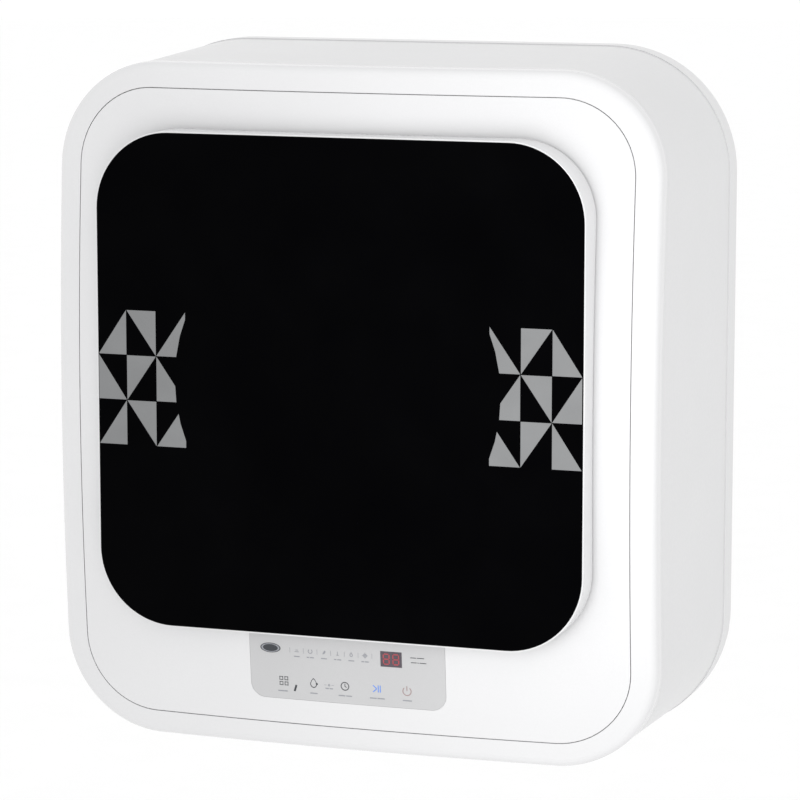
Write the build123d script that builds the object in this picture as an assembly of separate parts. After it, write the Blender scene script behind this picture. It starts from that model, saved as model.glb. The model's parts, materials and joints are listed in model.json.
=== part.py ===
from build123d import *
import math
import os

os.makedirs("parts", exist_ok=True)

# A compact wall-hung clothes dryer. Millimetres, +X right, +Y towards the wall, +Z up.
# The origin is the centre of the four wall bolts, on the wall plane y = 0.

# Casing
overall_width = 550.0
overall_height = 600.0
casing_depth = 240.0
rear_rim_depth = 27.0
rear_corner_radius = 108.0
front_corner_radius = 84.0
front_flare = 12.0
casing_wall = 2.4
crown_rise = 35.3295
front_wall = 3.0
ring_width = 19.0
ring_depth = 16.0
ring_edge_radius = 8.0
seam_gap = 0.8
ledge_width = 8.0
ledge_wall = 2.0
shell_step = 0.8
lip_length = 7.0
lip_wall = 1.6
back_panel_wall = 2.0
back_recess = 10.0
rear_edge_radius = 3.0

# Clearances
fit_gap = 0.4
run_gap = 0.03
free_gap = 0.5

# Back panel
vent_length = 18.0
vent_width = 4.0
vent_pitch_x = 26.0
vent_pitch_z = 14.0
vent_columns = 9
vent_rows = 3
vent_drop = 78.0
gland_x = -190.0
gland_z = -215.0
gland_radius = 9.0
gland_flange_radius = 13.0
gland_bore_radius = 4.0
gland_flange = 6.0
gland_body = 14.0
screw_edge = 14.0
screw_along = 90.0
screw_radius = 2.0
screw_head_radius = 4.0
screw_head_height = 2.4
screw_length = 8.0
bolt_access_radius = 12.0

# Wall fixing
bracket_corner_radius = 12.0
bracket_width = 420.0
bracket_height = 320.0
bracket_wall = 3.0
wall_bolt_spacing_x = 360.0
wall_bolt_spacing_z = 260.0
wall_bolt_hole_radius = 5.5
hook_width = 60.0
spacer_radius = 14.0
spacer_inset = 60.0

# Drum and its mouth
drum_height = 25.5
drum_radius = 215.0
drum_sheet = 1.2
drum_setback = 42.0
drum_rear_y = -72.0
drum_lip_depth = 8.0
baffle_count = 3
baffle_reach = 1.0
baffle_base = 46.0
baffle_top = 18.0
baffle_margin = 8.0
bulkhead_setback = 34.0
bulkhead_sheet = 1.2
bulkhead_inset = 6.0
collar_length = 17.0
felt_wall = 5.3
gasket_lip_reach = 9.0
gasket_flange_width = 15.0
fascia_hole_margin = 3.0
gasket_flange_wall = 3.0
rear_bulkhead_y = -60.0
rear_felt_radius = 186.0
hub_radius = 55.0
hub_wall = 6.0
shaft_radius = 10.0
bearing_outer_radius = 22.0
bearing_width = 9.0
bearing_housing_wall = 4.0
bearing_housing_length = 26.0
perforation_radius = 3.0

# Drum details
gasket_proud = 5.0
gasket_wall = 4.0
gasket_lip = 12.0
gasket_foot = 8.0
felt_inset = 2.0
rear_felt_width = 8.0
hot_window_count = 4
hot_window_ring = 105.0
hot_window_turn = 45.0
hot_window_width = 60.0
hot_window_height = 90.0
hot_window_corner_radius = 12.0
shaft_hole_margin = 4.0
shaft_tail = 4.0
hole_ring_count = 4
hole_ring_first = 72.0
hole_ring_step = 22.0
hole_count_first = 12
hole_count_step = 6
baffle_turn = 25.0
baffle_crest_radius = 6.0
bearing_flange_width = 14.0
bearing_flange_wall = 3.0

# Drive
blower_passage_radius = 34.0
motor_edge_radius = 4.0
motor_plate_width = 120.0
motor_plate_height = 68.0
motor_plate_wall = 3.0
motor_post_x = 52.0
motor_post_radius = 6.0
shaft_end_gap = 6.0
idler_arm_gap = 2.0
idler_arm_width = 18.0
idler_axle_radius = 3.0
idler_foot_width = 24.0
idler_foot_drop = 12.0
idler_foot_top = 8.0
motor_x = 150.0
motor_z = -225.0
motor_radius = 44.0
motor_front_y = -138.0
motor_rear_y = -80.0
motor_shaft_radius = 5.0
motor_pulley_radius = 14.0
pulley_width = 12.0
belt_y = -146.0
belt_width = 8.0
belt_wall = 2.0
idler_radius = 18.0
idler_arm_wall = 3.0
idler_pivot_radius = 3.0
idler_pivot_gap = 6.0
idler_pivot_z = -264.0

# Air path
blower_radius = 44.0
blower_width = 22.0
blower_blade_count = 24
scroll_radius = 58.0
scroll_front_y = -46.0
scroll_rear_y = -14.0
scroll_wall = 2.0
exhaust_bore_radius = 40.0
exhaust_wall = 2.0
exhaust_x = 20.0
exhaust_z = -232.0
duct_left = -176.0
duct_right = -56.0
duct_top = -204.0
duct_bottom = -284.0
duct_wall = 2.0
filter_thickness = 12.0
filter_setback = 60.0
filter_side = 8.0
filter_cap_drop = 11.0
heater_radius = 160.0
heater_inner_radius = 38.0
heater_rear_y = -24.0
heater_sheet = 1.2
element_radius = 4.0

# Air path details
outlet_half = 46.0
blower_inlet_radius = 30.0
wheel_gap = 3.0
wheel_wall = 2.0
wheel_hub_wall = 5.0
wheel_hub_setback = 4.0
blade_length = 9.0
blade_wall = 1.4
blade_inset = 5.0
blade_lean = 30.0
pocket_side = 6.0
pocket_top = 2.0
mesh_side = 14.0
mesh_bottom = 8.0
mesh_top = 10.0
mesh_wall = 1.2
heater_slot_pitch = 20.0
heater_slot_columns = 7
heater_slot_length = 14.0
heater_slot_rise = 110.0
element_ring_radii = (85.0, 105.0, 125.0)
post_ring_radius = 145.0
post_count = 6
post_radius = 6.0
thermostat_x = 60.0
thermostat_radius = 9.0
thermostat_height = 8.0

# Door
glass_chamfer = 0.4
rib_rise = 4.0
bowl_edge_radius = 14.0
clamp_edge_radius = 1.5
door_width = 424.8
door_height = 417.6
door_corner_radius = 64.6
door_stand_off = 18.4
glass_thickness = 4.0
glass_rim = 1.3
glass_proud = 0.8
door_gap = 4.0
door_wall = 3.0
door_web = 2.5
door_border = 55.4
bowl_clearance = 17.0
bowl_draft = 14.0
view_margin = 6.0
bowl_wall = 3.0
bowl_setback = 50.0
bowl_flange_width = 10.0
clamp_margin = 15.0
clamp_depth = 6.0
hinge_edge = 5.4
hinge_stand_off = 8.5
hinge_spacing = 240.0
hinge_pin_radius = 2.5
hinge_lug_height = 6.0
hinge_lug_radius = 5.0
hinge_lug_width = 6.0
hinge_sweep_radius = 24.0
hinge_leaf_height = 5.0
latch_edge = 22.4
striker_reach = 9.0
plunger_travel = 3.0

# Controls
board_side_margin = 14.0
board_bottom_margin = 10.0
board_top_margin = 12.0
display_width = 18.0
display_height = 12.0
display_gap = 1.5
key_places = (-54.0, -28.0, 0.0, 28.0, 54.0)
key_rise = 19.0
key_radius = 5.0
key_gap = 1.0
panel_width = 175.0
panel_top = -176.0
panel_bottom = -247.0
panel_x = -1.0
panel_corner_radius = 13.0
film_wall = 0.8
window_x = 39.0
window_z = -204.7
window_width = 19.0
window_height = 13.6
board_wall = 1.6
board_setback = 24.0

# Electronics
case_setback = 64.0
case_bottom = -218.0
board_rise = 6.0
board_gap = 4.0
component_rises = (12.0, 9.0, 14.0, 8.0)
component_margin = 16.0
component_pitch = 20.0
component_length = 12.0
component_bottom = 20.0
component_top = 44.0
capacitor_x = 222.0
capacitor_z = -150.0
capacitor_radius = 16.0
capacitor_front_y = -150.0
capacitor_length = 60.0
case_x = -228.0
case_height = 70.0
case_length = 96.0
case_depth = 24.0
case_wall = 2.0

front_y = -casing_depth
crown_radius = (overall_width**2 + overall_height**2) / (8 * crown_rise)
mouth_radius = door_width / 2 - door_border
fascia_hole_radius = mouth_radius + fascia_hole_margin
gasket_inner_radius = mouth_radius - gasket_lip_reach
gasket_flange_radius = mouth_radius + gasket_flange_width
clamp_outer_radius = mouth_radius + clamp_margin
bowl_radius = mouth_radius - bowl_clearance
bowl_end_radius = bowl_radius - bowl_draft
bowl_flange_radius = bowl_radius + bowl_flange_width
door_view_radius = bowl_radius - view_margin
baffle_rise = (drum_radius - mouth_radius) / 2 + baffle_reach
bulkhead_y = front_y + bulkhead_setback
drum_front_y = front_y + drum_setback
bowl_rear_y = front_y + bowl_setback
filter_y = front_y + filter_setback
board_y = front_y + board_setback
hinge_y = front_y - hinge_stand_off
idler_pivot_x = motor_x - motor_radius - idler_pivot_gap
split_y = -rear_rim_depth
behind_front_y = front_y + 60
glass_front_y = front_y - door_stand_off
glass_rear_y = glass_front_y + glass_thickness
web_rear_y = glass_rear_y + fit_gap / 2 + door_web
flange_rear_y = web_rear_y + bowl_wall
clamp_rear_y = flange_rear_y + clamp_depth
back_panel_y = -back_recess
hinge_x = hinge_edge - door_width / 2
latch_x = door_width / 2 - latch_edge


def facing(y):
    """A plane at depth y that faces the front, with local x along +X and local y along +Z."""
    return Plane(origin=(0, y, 0), x_dir=(1, 0, 0), z_dir=(0, -1, 0))


def plate(outline, front, rear):
    """The solid of a front-view outline between two depths."""
    return extrude(facing(rear) * outline, amount=rear - front)


def pattern(places, outline):
    """One outline repeated at each place."""
    return Sketch(children=[place * outline for place in places])


def disc(x, z, radius, front, rear):
    """A cylinder along Y."""
    return plate(Pos(x, z) * Circle(radius), front, rear)


def tube(x, z, outer, inner, front, rear):
    """A hollow cylinder along Y."""
    return plate(Pos(x, z) * (Circle(outer) - Circle(inner)), front, rear)


def block(left, right, front, rear, bottom, top):
    """A box between six planes."""
    size = (right - left, rear - front, top - bottom)
    middle = ((left + right) / 2, (front + rear) / 2, (bottom + top) / 2)
    return Pos(*middle) * Box(*size)


def upright(x, y, radius, bottom, top):
    """A cylinder along Z."""
    return Pos(x, y, (bottom + top) / 2) * Cylinder(radius, top - bottom)


def casing_outline(y, inset):
    """The casing's rounded outline at a depth, moved in by an inset. It widens from front to rear cover."""
    share = min((y - front_y) / (split_y - front_y), 1.0)
    width = overall_width - 2 * front_flare * (1 - share)
    height = overall_height - 2 * front_flare * (1 - share)
    radius = front_corner_radius + (rear_corner_radius - front_corner_radius) * share
    return RectangleRounded(width - 2 * inset, height - 2 * inset, radius - inset)


def casing_block(front, rear, inset):
    """A solid block that follows the drafted casing between two depths."""
    ends = [facing(front) * casing_outline(front, inset), facing(rear) * casing_outline(rear, inset)]
    return loft(ends, ruled=True)


def crown(inset):
    """The ball whose front is the gently crowned front surface, moved in by an inset."""
    return Pos(0, front_y + crown_radius, 0) * Sphere(crown_radius - inset)


def crown_depth(x, z):
    """The depth of the crowned front surface at a point of the front view."""
    return front_y + crown_radius - math.sqrt(crown_radius**2 - x**2 - z**2)


def seam_outline(inset):
    """The seam between the front ring and the fascia, moved in by an inset."""
    width = overall_width - 2 * front_flare - 2 * ring_width
    height = overall_height - 2 * front_flare - 2 * ring_width
    return RectangleRounded(width - 2 * inset, height - 2 * inset, front_corner_radius - ring_width - inset)


def save(name, shape):
    """Writes one node."""
    solids = shape.solids()
    export_step(solids[0] if len(solids) == 1 else Compound(children=list(solids)), f"parts/{name}.step")


def save_all(pieces):
    """Writes a dictionary of named nodes."""
    for name, shape in pieces.items():
        save(name, shape)


def panel_outline(inset):
    """The outline of the control panel's film, moved in by an inset."""
    height = panel_top - panel_bottom
    middle = (panel_top + panel_bottom) / 2
    return Pos(panel_x, middle) * RectangleRounded(
        panel_width - 2 * inset, height - 2 * inset, panel_corner_radius - inset
    )


def window_outline(inset):
    """The outline of the small display window, moved in by an inset."""
    return Pos(window_x, window_z) * Rectangle(window_width - 2 * inset, window_height - 2 * inset)


def build_front():
    """The front ring, the crowned fascia inside its seam, and the control panel."""
    behind = behind_front_y
    ring = (casing_block(front_y - 1, behind, 0) & crown(0)) - crown(ring_depth)
    ring = fillet(ring.faces().sort_by(Axis.Y)[0].outer_wire().edges(), ring_edge_radius)
    hollow = casing_block(front_y - 1, behind, casing_wall) & crown(front_wall)
    ledge = casing_block(front_y - 1, behind, casing_wall / 2) & crown(front_wall + fit_gap)
    ledge -= crown(front_wall + fit_gap + ledge_wall)
    ledge -= plate(seam_outline(ledge_width), front_y - 1, behind)
    ring = ring - hollow - plate(seam_outline(0), front_y - 1, behind) + ledge

    fascia = plate(seam_outline(seam_gap), front_y - 1, behind) & crown(0)
    fascia -= crown(front_wall)
    fascia -= disc(0, drum_height, fascia_hole_radius, front_y - 1, behind)
    fascia -= plate(panel_outline(0), front_y - 1, behind) - crown(film_wall)
    fascia -= plate(window_outline(0), front_y - 1, behind)
    fascia -= latch_slot()
    for z in hinge_heights():
        fascia -= block(hinge_x - 9, hinge_x + 9, front_y - 1, behind, z - 4, z + 4)

    film = (plate(panel_outline(fit_gap / 2), front_y - 1, behind) & crown(0)) - crown(film_wall)
    film -= plate(window_outline(0), front_y - 1, behind)
    window = (plate(window_outline(fit_gap / 4), front_y - 1, behind) & crown(0)) - crown(front_wall)
    return {"front_ring": ring, "front_fascia": fascia, "control_film": film, "display_window": window}


def hinge_heights():
    """The heights of the lower and the upper hinge."""
    return [drum_height - hinge_spacing / 2, drum_height + hinge_spacing / 2]


def latch_slot():
    """The slot in the fascia that the door's striker enters."""
    return block(latch_x - 12, latch_x + 12, front_y - 1, behind_front_y, drum_height - 8, drum_height + 8)


def build_controls():
    """The circuit board behind the control panel, its display and its touch springs."""
    left = panel_x - panel_width / 2 + board_side_margin
    right = panel_x + panel_width / 2 - board_side_margin
    bottom = panel_bottom + board_bottom_margin
    top = panel_top - board_top_margin
    board = block(left, right, board_y, board_y + board_wall, bottom, top)
    inner = crown_depth(window_x, window_z) + front_wall + display_gap
    display = block(
        window_x - display_width / 2, window_x + display_width / 2, inner, board_y,
        window_z - display_height / 2, window_z + display_height / 2,
    )
    pads = []
    for x in key_places:
        z = panel_bottom + key_rise
        near = crown_depth(panel_x + x, z) + front_wall + key_gap
        pads.append(disc(panel_x + x, z, key_radius, near, board_y))
    return {"control_board": board, "display_digits": display, "touch_springs": Compound(children=pads)}


def build_casing():
    """The wrap-round cabinet shell, the straight-sided rear rim and the back panel."""
    shell = casing_block(front_y, split_y, shell_step) & crown(ring_depth + fit_gap / 2)
    shell -= casing_block(front_y - 1, split_y + 1, shell_step + casing_wall)
    lip = casing_block(front_y, split_y, casing_wall + fit_gap) & crown(ring_depth - lip_length)
    lip -= crown(ring_depth + lip_length)
    lip -= casing_block(front_y - 1, split_y + 1, casing_wall + fit_gap + lip_wall)
    shell += lip
    cap = filter_thickness / 2 + free_gap
    shell -= block(
        duct_left + filter_side - free_gap, duct_right - filter_side + free_gap,
        filter_y - cap, filter_y + cap, -overall_height / 2, duct_bottom + duct_wall,
    )

    rim = plate(casing_outline(0, 0), split_y, 0)
    rim = fillet(rim.faces().sort_by(Axis.Y)[-1].outer_wire().edges(), rear_edge_radius)
    rim -= plate(casing_outline(0, casing_wall), split_y - 1, 1)
    cover = plate(casing_outline(0, casing_wall), back_panel_y - back_panel_wall, back_panel_y)
    cover -= disc(exhaust_x, exhaust_z, exhaust_bore_radius + exhaust_wall + fit_gap, split_y, 1)
    slots = pattern(GridLocations(vent_pitch_x, vent_pitch_z, vent_columns, vent_rows), vent_slot())
    cover -= plate(Pos(0, overall_height / 2 - vent_drop) * slots, split_y, 1)
    cover -= disc(gland_x, gland_z, gland_radius + fit_gap / 2, split_y, 1)
    for x, z in screw_places():
        cover -= disc(x, z, screw_radius + fit_gap / 2, split_y, 1)
    for x, z in bolt_places():
        cover -= disc(x, z, bolt_access_radius, split_y, 1)
    return {"cabinet_shell": shell, "rear_rim": rim, "back_panel": cover}


def vent_slot():
    """The outline of one cooling slot."""
    return SlotOverall(vent_length, vent_width)


def screw_places():
    """The screws round the edge of the back panel."""
    x = overall_width / 2 - screw_edge
    z = overall_height / 2 - screw_edge
    sides = [(side * x, along) for side in (-1, 1) for along in (-screw_along, screw_along)]
    ends = [(along, side * z) for side in (-1, 1) for along in (-screw_along, screw_along)]
    return sides + ends


def bolt_places():
    """The four wall bolts."""
    x = wall_bolt_spacing_x / 2
    z = wall_bolt_spacing_z / 2
    return [(-x, -z), (x, -z), (-x, z), (x, z)]


def build_wall_fixing():
    """The wall bracket with its folded tabs, the rubber spacers, and the cover screws."""
    bracket = plate(RectangleRounded(bracket_width, bracket_height, bracket_corner_radius), -bracket_wall, 0)
    for x, z in bolt_places():
        bracket -= disc(x, z, wall_bolt_hole_radius, -bracket_wall - 1, 1)
    for x in (-bracket_width / 4, bracket_width / 4):
        for z in (-bracket_height / 4, bracket_height / 4):
            bracket += block(
                x - hook_width / 2, x + hook_width / 2, back_panel_y, -bracket_wall, z, z + bracket_wall
            )
    spacers = []
    for x in (-1, 1):
        for z in (-1, 1):
            place = (x * (overall_width / 2 - spacer_inset), z * (overall_height / 2 - spacer_inset))
            spacers.append(disc(*place, spacer_radius, back_panel_y, 0))
    screws = []
    for x, z in screw_places():
        head = disc(x, z, screw_head_radius, back_panel_y, back_panel_y + screw_head_height)
        screws.append(head + disc(x, z, screw_radius, back_panel_y - screw_length, back_panel_y))
    gland = tube(gland_x, gland_z, gland_flange_radius, gland_bore_radius, back_panel_y, back_panel_y + gland_flange)
    gland += tube(gland_x, gland_z, gland_radius, gland_bore_radius, back_panel_y - gland_body, back_panel_y)
    collar = tube(exhaust_x, exhaust_z, exhaust_bore_radius + exhaust_wall, exhaust_bore_radius, scroll_rear_y, 0)
    return {
        "wall_bracket": bracket,
        "rubber_spacers": Compound(children=spacers),
        "cover_screws": Compound(children=screws),
        "cord_gland": gland,
        "exhaust_collar": collar,
    }


def build_bulkheads():
    """The sheet-steel bulkheads in front of and behind the drum, with the seals they carry."""
    front = plate(casing_outline(bulkhead_y, bulkhead_inset), bulkhead_y, bulkhead_y + bulkhead_sheet)
    front -= disc(0, drum_height, mouth_radius, bulkhead_y - 1, bulkhead_y + 5)
    collar_end = bulkhead_y + bulkhead_sheet + collar_length
    front += tube(0, drum_height, mouth_radius + bulkhead_sheet, mouth_radius, bulkhead_y, collar_end)
    front -= duct_opening(bulkhead_y - 1, bulkhead_y + 5)
    felt_inner = mouth_radius + bulkhead_sheet
    felt = tube(
        0, drum_height, felt_inner + felt_wall, felt_inner, bulkhead_y + bulkhead_sheet, collar_end - felt_inset
    )

    lip_front = crown_depth(fascia_hole_radius, drum_height) - gasket_proud
    gasket = tube(0, drum_height, fascia_hole_radius - 1, gasket_inner_radius, lip_front, bulkhead_y)
    gasket += tube(
        0, drum_height, gasket_flange_radius, gasket_inner_radius, bulkhead_y - gasket_flange_wall, bulkhead_y
    )
    groove = tube(
        0, drum_height, fascia_hole_radius, gasket_inner_radius + gasket_wall, lip_front + gasket_lip,
        bulkhead_y - gasket_foot,
    )
    gasket -= groove

    sheet_rear = rear_bulkhead_y + bulkhead_sheet
    rear = plate(casing_outline(rear_bulkhead_y, bulkhead_inset), rear_bulkhead_y, sheet_rear)
    window = RectangleRounded(hot_window_width, hot_window_height, hot_window_corner_radius)
    for spot in PolarLocations(hot_window_ring, hot_window_count, hot_window_turn):
        rear -= plate(Pos(0, drum_height) * spot * window, rear_bulkhead_y - 1, sheet_rear + 1)
    rear -= disc(0, drum_height, shaft_radius + shaft_hole_margin, rear_bulkhead_y - 1, sheet_rear + 1)
    rear -= disc(motor_x, motor_z, blower_passage_radius, rear_bulkhead_y - 1, sheet_rear + 1)
    rear -= duct_opening(rear_bulkhead_y - 1, sheet_rear + 1)
    rear_felt = tube(
        0, drum_height, rear_felt_radius, rear_felt_radius - rear_felt_width, drum_rear_y + fit_gap, rear_bulkhead_y
    )
    return {
        "front_bulkhead": front,
        "front_felt": felt,
        "door_gasket": gasket,
        "rear_bulkhead": rear,
        "rear_felt": rear_felt,
    }


def duct_opening(front, rear):
    """The air duct's passage through a bulkhead."""
    return block(
        duct_left + duct_wall, duct_right - duct_wall, front, rear, duct_bottom + duct_wall, duct_top - duct_wall
    )


def build_drum():
    """The drum with its front lip, perforated rear, hub, shaft and lifting baffles."""
    inner = drum_radius - drum_sheet
    lip_radius = mouth_radius + bulkhead_sheet + felt_wall + free_gap
    shell = tube(0, drum_height, drum_radius, inner, drum_front_y, drum_rear_y)
    lip = tube(0, drum_height, inner, lip_radius, drum_front_y, drum_front_y + drum_sheet)
    lip += tube(0, drum_height, lip_radius + drum_sheet, lip_radius, drum_front_y, drum_front_y + drum_lip_depth)

    back = disc(0, drum_height, inner, drum_rear_y - drum_sheet, drum_rear_y)
    holes = []
    for ring in range(hole_ring_count):
        radius = hole_ring_first + hole_ring_step * ring
        count = hole_count_first + hole_count_step * ring
        holes += list(PolarLocations(radius, count))
    round_holes = pattern(holes, Circle(perforation_radius))
    back -= plate(Pos(0, drum_height) * round_holes, drum_rear_y - 3, drum_rear_y + 1)
    shaft_rear = rear_bulkhead_y + bearing_housing_length + shaft_tail
    hub = disc(0, drum_height, hub_radius, drum_rear_y, drum_rear_y + hub_wall)
    hub += disc(0, drum_height, shaft_radius, drum_rear_y, shaft_rear)
    pieces = {"drum_shell": shell, "drum_front_lip": lip, "drum_back": back, "drum_hub_shaft": hub}
    for index in range(baffle_count):
        pieces[f"drum_baffle_{index + 1}"] = build_baffle(index)
    return pieces


def build_baffle(index):
    """One lifting baffle: a ridge that narrows towards the drum's axis."""
    base = inner_chord_depth()
    outline = make_face(
        Polyline(
            (-baffle_base / 2, -base),
            (baffle_base / 2, -base),
            (baffle_top / 2, -base + baffle_rise),
            (-baffle_top / 2, -base + baffle_rise),
            close=True,
        )
    )
    turned = Pos(0, drum_height) * Rot(0, 0, 360 / baffle_count * index + baffle_turn) * outline
    ridge = plate(turned, drum_front_y + drum_sheet + baffle_margin, drum_rear_y - drum_sheet - baffle_margin)
    crest = [edge for edge in ridge.edges().filter_by(Axis.Y) if radial(edge) < base - baffle_rise / 2]
    return fillet(crest, baffle_crest_radius)


def inner_chord_depth():
    """How far the baffle's flat base lies from the drum's axis, just inside the drum wall."""
    return math.sqrt((drum_radius - drum_sheet - fit_gap) ** 2 - (baffle_base / 2) ** 2)


def radial(edge):
    """An edge's distance from the drum's axis."""
    middle = edge.center()
    return math.hypot(middle.X, middle.Z - drum_height)


def build_bearings():
    """The bearing housing on the rear bulkhead and the two bearings that carry the drum's shaft."""
    front = rear_bulkhead_y + bulkhead_sheet
    rear = rear_bulkhead_y + bearing_housing_length
    housing = tube(0, drum_height, bearing_outer_radius + bearing_housing_wall, bearing_outer_radius, front, rear)
    housing += tube(
        0, drum_height, bearing_outer_radius + bearing_flange_width, bearing_outer_radius, front,
        front + bearing_flange_wall,
    )
    bore = shaft_radius + run_gap
    near = tube(0, drum_height, bearing_outer_radius, bore, front, front + bearing_width)
    far = tube(0, drum_height, bearing_outer_radius, bore, rear - bearing_width, rear)
    return {"bearing_housing": housing, "drum_bearings": Compound(children=[near, far])}


def belt_tangent():
    """The unit direction, in the front view, from the drum's axis to the lower belt run's tangent point."""
    run_x = motor_x
    run_z = motor_z - drum_height
    spread = math.acos((drum_radius - motor_pulley_radius) / math.hypot(run_x, run_z))
    heading = math.atan2(run_z, run_x) - spread
    return math.cos(heading), math.sin(heading)


def belt_loop(grow):
    """The outline round the drum and the motor pulley, grown by a clearance or a belt's thickness."""
    pair = Pos(0, drum_height) * Circle(drum_radius + grow) + Pos(motor_x, motor_z) * Circle(motor_pulley_radius + grow)
    return make_hull(pair.edges())


def idler_place():
    """The idler pulley's centre, just clear of the outside of the lower belt run."""
    x, z = belt_tangent()
    reach = belt_wall + 2 * free_gap + idler_radius
    start = (drum_radius * x, drum_height + drum_radius * z)
    end = (motor_x + motor_pulley_radius * x, motor_z + motor_pulley_radius * z)
    return (start[0] + end[0]) / 2 + reach * x, (start[1] + end[1]) / 2 + reach * z


def build_drive():
    """The motor, its bracket and rotor, the drive belt and the sprung idler."""
    front = belt_y - belt_width / 2
    rear = belt_y + belt_width / 2
    belt = plate(belt_loop(free_gap + belt_wall) - belt_loop(free_gap), front, rear)

    bore = motor_shaft_radius + run_gap
    motor = tube(motor_x, motor_z, motor_radius, bore, motor_front_y, motor_rear_y)
    rounds = motor.edges().filter_by(lambda edge: edge.length > 2 * math.pi * (motor_radius - 1))
    motor = fillet(rounds, motor_edge_radius)
    bracket = block(
        motor_x - motor_plate_width / 2, motor_x + motor_plate_width / 2, motor_rear_y,
        motor_rear_y + motor_plate_wall, motor_z - motor_plate_height / 2, motor_z + motor_plate_height / 2,
    )
    bracket -= disc(motor_x, motor_z, bore + motor_plate_wall, motor_rear_y - 1, motor_rear_y + motor_plate_wall + 1)
    for x in (-motor_post_x, motor_post_x):
        bracket += disc(motor_x + x, motor_z, motor_post_radius, motor_rear_y + motor_plate_wall, rear_bulkhead_y)
    shaft = disc(motor_x, motor_z, motor_shaft_radius, belt_y - pulley_width, scroll_rear_y - shaft_end_gap)
    pulley_front = belt_y - pulley_width / 2
    pulley = tube(
        motor_x, motor_z, motor_pulley_radius, motor_shaft_radius, pulley_front, pulley_front + pulley_width
    )

    x, z = idler_place()
    arm_front = rear + idler_arm_gap
    arm_rear = arm_front + idler_arm_wall
    reach = math.hypot(x - idler_pivot_x, z - idler_pivot_z)
    turn = math.degrees(math.atan2(z - idler_pivot_z, x - idler_pivot_x))
    middle = Pos((x + idler_pivot_x) / 2, (z + idler_pivot_z) / 2)
    bar = middle * Rot(0, 0, turn) * SlotOverall(reach + idler_arm_width, idler_arm_width)
    arm = plate(bar, arm_front, arm_rear)
    arm -= disc(idler_pivot_x, idler_pivot_z, idler_pivot_radius + run_gap, arm_front - 1, arm_rear + 1)
    arm += disc(x, z, idler_axle_radius, front - 1, arm_front)
    pulley_idle = tube(x, z, idler_radius, idler_axle_radius + run_gap, front, rear)
    pin = disc(idler_pivot_x, idler_pivot_z, idler_pivot_radius, front, arm_rear + 2 * idler_arm_wall)
    foot = block(
        idler_pivot_x - idler_foot_width / 2, idler_pivot_x + idler_foot_width / 2, arm_rear + idler_arm_wall,
        arm_rear + 2 * idler_arm_wall, -overall_height / 2 + idler_foot_drop, idler_pivot_z + idler_foot_top
    )
    foot -= disc(idler_pivot_x, idler_pivot_z, idler_pivot_radius, arm_rear, arm_rear + 3 * idler_arm_wall)
    return {
        "drive_belt": belt,
        "motor_body": motor,
        "motor_bracket": bracket,
        "motor_shaft": shaft,
        "motor_pulley": pulley,
        "idler_arm": arm,
        "idler_pulley": pulley_idle,
        "idler_foot": Compound(children=[foot, pin]),
    }


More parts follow.
